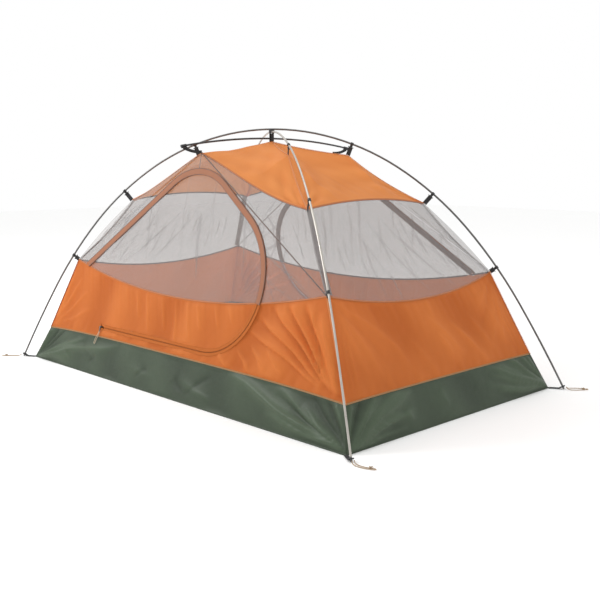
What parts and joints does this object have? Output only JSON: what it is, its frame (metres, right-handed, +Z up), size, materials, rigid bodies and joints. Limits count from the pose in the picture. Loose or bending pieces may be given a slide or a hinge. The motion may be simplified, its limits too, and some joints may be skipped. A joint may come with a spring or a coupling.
{
  "type": "tent on poles",
  "caption": "Free-standing dome tent inner on crossed bow poles with a ridge pole, bathtub groundsheet, see-through mesh and zipped doors.",
  "frame": {"origin": "centre of the tent on the ground, at the middle of its bounding box", "axes": "+X along the long side, the near door faces -Y, +Z up"},
  "size_m": [2.5164, 1.5711, 1.158],
  "materials": {
    "groundsheet_green": "coated ripstop cloth, slightly shiny",
    "wall_orange": "plain woven nylon, matt",
    "roof_orange": "plain woven nylon, matt",
    "mesh_grey": "fine see-through insect mesh",
    "seam_grey": "doubled seam tape",
    "zip_brown": "woven zip tape with coil teeth",
    "cover_orange": "plain woven nylon band",
    "webbing_black": "flat woven webbing",
    "webbing_dark": "flat woven webbing",
    "pole_aluminium": "satin anodised tube",
    "ridge_black": "black anodised tube",
    "ferrule_aluminium": "drawn tube",
    "elastic_cord": "braided elastic cord",
    "plastic_black": "moulded nylon",
    "tip_metal": "turned tip",
    "slider_metal": "lacquered die casting",
    "cord_tan": "thin braided cord",
    "cord_pale": "thin braided cord"
  },
  "bodies": {
    "tent": {"groundsheet_floor": "groundsheet_green", "groundsheet_near_side": "groundsheet_green", "groundsheet_far_side": "groundsheet_green", "groundsheet_left_side": "groundsheet_green", "groundsheet_right_side": "groundsheet_green", "near_lower_wall": "wall_orange", "far_lower_wall": "wall_orange", "left_lower_wall": "wall_orange", "right_lower_wall": "wall_orange", "near_mesh_panel": "mesh_grey", "far_mesh_panel": "mesh_grey", "left_mesh_panel": "mesh_grey", "right_mesh_panel": "mesh_grey", "near_left_mesh_gusset": "mesh_grey", "near_right_mesh_gusset": "mesh_grey", "far_left_mesh_gusset": "mesh_grey", "far_right_mesh_gusset": "mesh_grey", "near_roof_panel": "roof_orange", "far_roof_panel": "roof_orange", "left_roof_panel": "roof_orange", "right_roof_panel": "roof_orange", "corner_seam_bands": "seam_grey", "near_wall_zip_half": "zip_brown", "far_wall_zip_half": "zip_brown", "upper_long_pole": "pole_aluminium", "lower_long_pole": "pole_aluminium", "ridge_pole": "ridge_black", "pole_ferrules": "ferrule_aluminium", "pole_shock_cords": "elastic_cord", "pole_tips": "tip_metal", "crossing_clip": "plastic_black", "crossing_strap": "webbing_black", "pole_clips": "plastic_black", "clip_straps": "webbing_black", "ridge_end_caps": "plastic_black", "ridge_end_straps": "webbing_black", "corner_straps": "webbing_dark", "foot_eyelets": "plastic_black", "near_left_peg_loop": "cord_tan", "near_right_peg_loop": "cord_tan", "far_left_peg_loop": "cord_tan", "far_right_peg_loop": "cord_tan"},
    "near_door": {"near_door_lower_panel": "wall_orange", "near_door_mesh_panel": "mesh_grey", "near_door_zip_half": "zip_brown", "near_door_zip_cover": "cover_orange"},
    "far_door": {"far_door_lower_panel": "wall_orange", "far_door_mesh_panel": "mesh_grey", "far_door_zip_half": "zip_brown", "far_door_zip_cover": "cover_orange"},
    "near_slider": {"near_zip_slider": "slider_metal"},
    "far_slider": {"far_zip_slider": "slider_metal"},
    "near_pull": {"near_pull_tab": "slider_metal", "near_pull_cord": "cord_pale"},
    "far_pull": {"far_pull_tab": "slider_metal", "far_pull_cord": "cord_pale"}
  },
  "joints": [
    {"name": "near_door_swing", "type": "hinge", "parent": "tent", "child": "near_door", "pos_m": [-0.56, -0.59213, 0.217], "axis": [0.6157, -0.168, -0.7699], "range_deg": [0, 75]},
    {"name": "far_door_swing", "type": "hinge", "parent": "tent", "child": "far_door", "pos_m": [0.56, 0.59213, 0.217], "axis": [-0.6157, 0.168, -0.7699], "range_deg": [0, 75]},
    {"name": "near_slider_travel", "type": "slide", "parent": "tent", "child": "near_slider", "axis": [1, 0, 0], "range_m": [0, 0.72]},
    {"name": "far_slider_travel", "type": "slide", "parent": "tent", "child": "far_slider", "axis": [-1, 0, 0], "range_m": [0, 0.72]},
    {"name": "near_pull_swing", "type": "hinge", "parent": "near_slider", "child": "near_pull", "pos_m": [-0.579, -0.59642, 0.21794], "axis": [-1, 0, 0], "range_deg": [0, 110]},
    {"name": "far_pull_swing", "type": "hinge", "parent": "far_slider", "child": "far_pull", "pos_m": [0.579, 0.59642, 0.21794], "axis": [1, 0, 0], "range_deg": [0, 110]}
  ]
}
